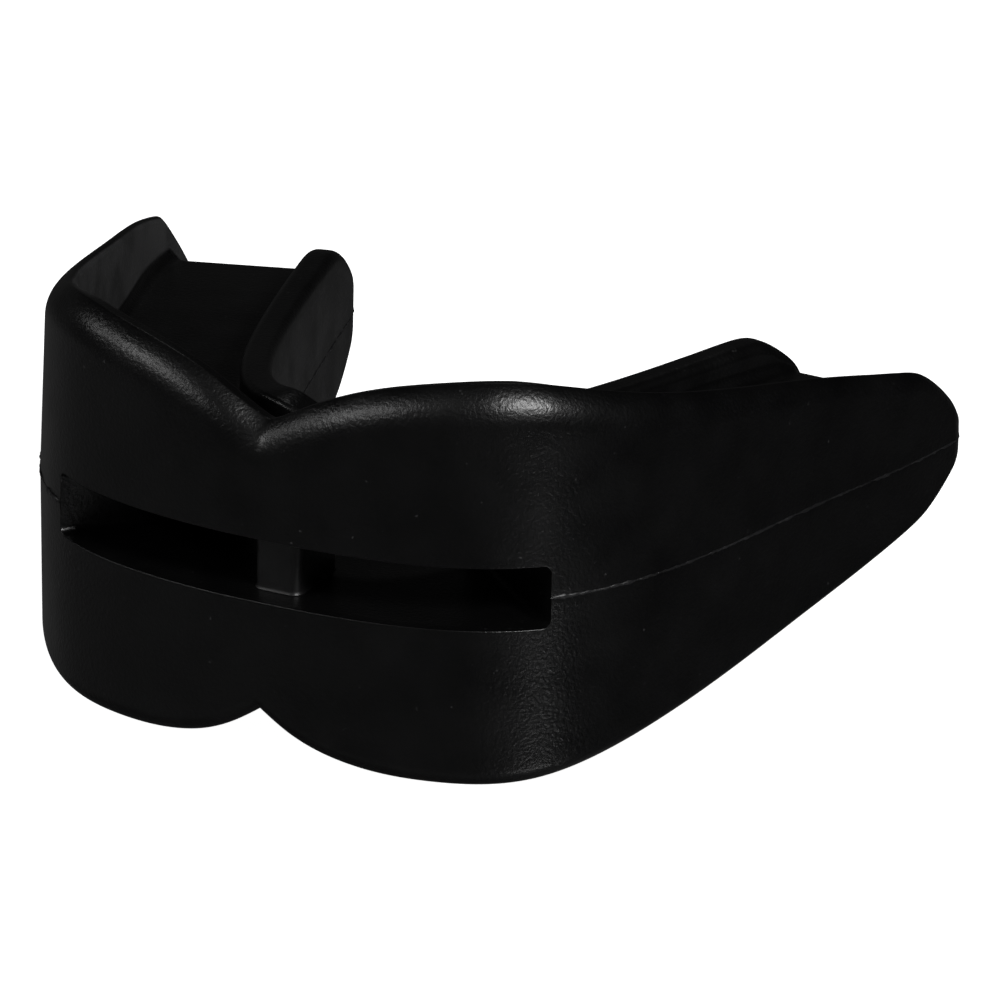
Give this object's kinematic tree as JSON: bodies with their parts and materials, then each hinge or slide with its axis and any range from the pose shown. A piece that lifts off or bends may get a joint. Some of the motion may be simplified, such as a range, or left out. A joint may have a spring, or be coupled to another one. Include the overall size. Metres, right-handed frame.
{
  "type": "double mouthguard",
  "caption": "Boxer's double mouthguard: upper and lower tooth troughs welded back to back along the arms, with a breathing slot and a centre pillar in front.",
  "frame": {"origin": "midway across and midway from front to back, on the plane where the two mouldings meet, which is 0.35 mm below the bounding box's centre because the upper moulding is 0.7 mm deeper than the lower one", "axes": "+X across the mouth towards the wearer's left, -Y towards the lips, +Z towards the upper teeth"},
  "size_m": [0.0624, 0.0467, 0.0293],
  "materials": {
    "guard_rubber": "satin black moulded rubber with a fine grain",
    "weld_rubber": "satin black rubber with a broken, rubbed flash line"
  },
  "bodies": {
    "root": {"upper_guard": "guard_rubber", "lower_guard": "guard_rubber", "centre_pillar": "guard_rubber", "left_weld_seam": "weld_rubber", "right_weld_seam": "weld_rubber"}
  },
  "joints": []
}
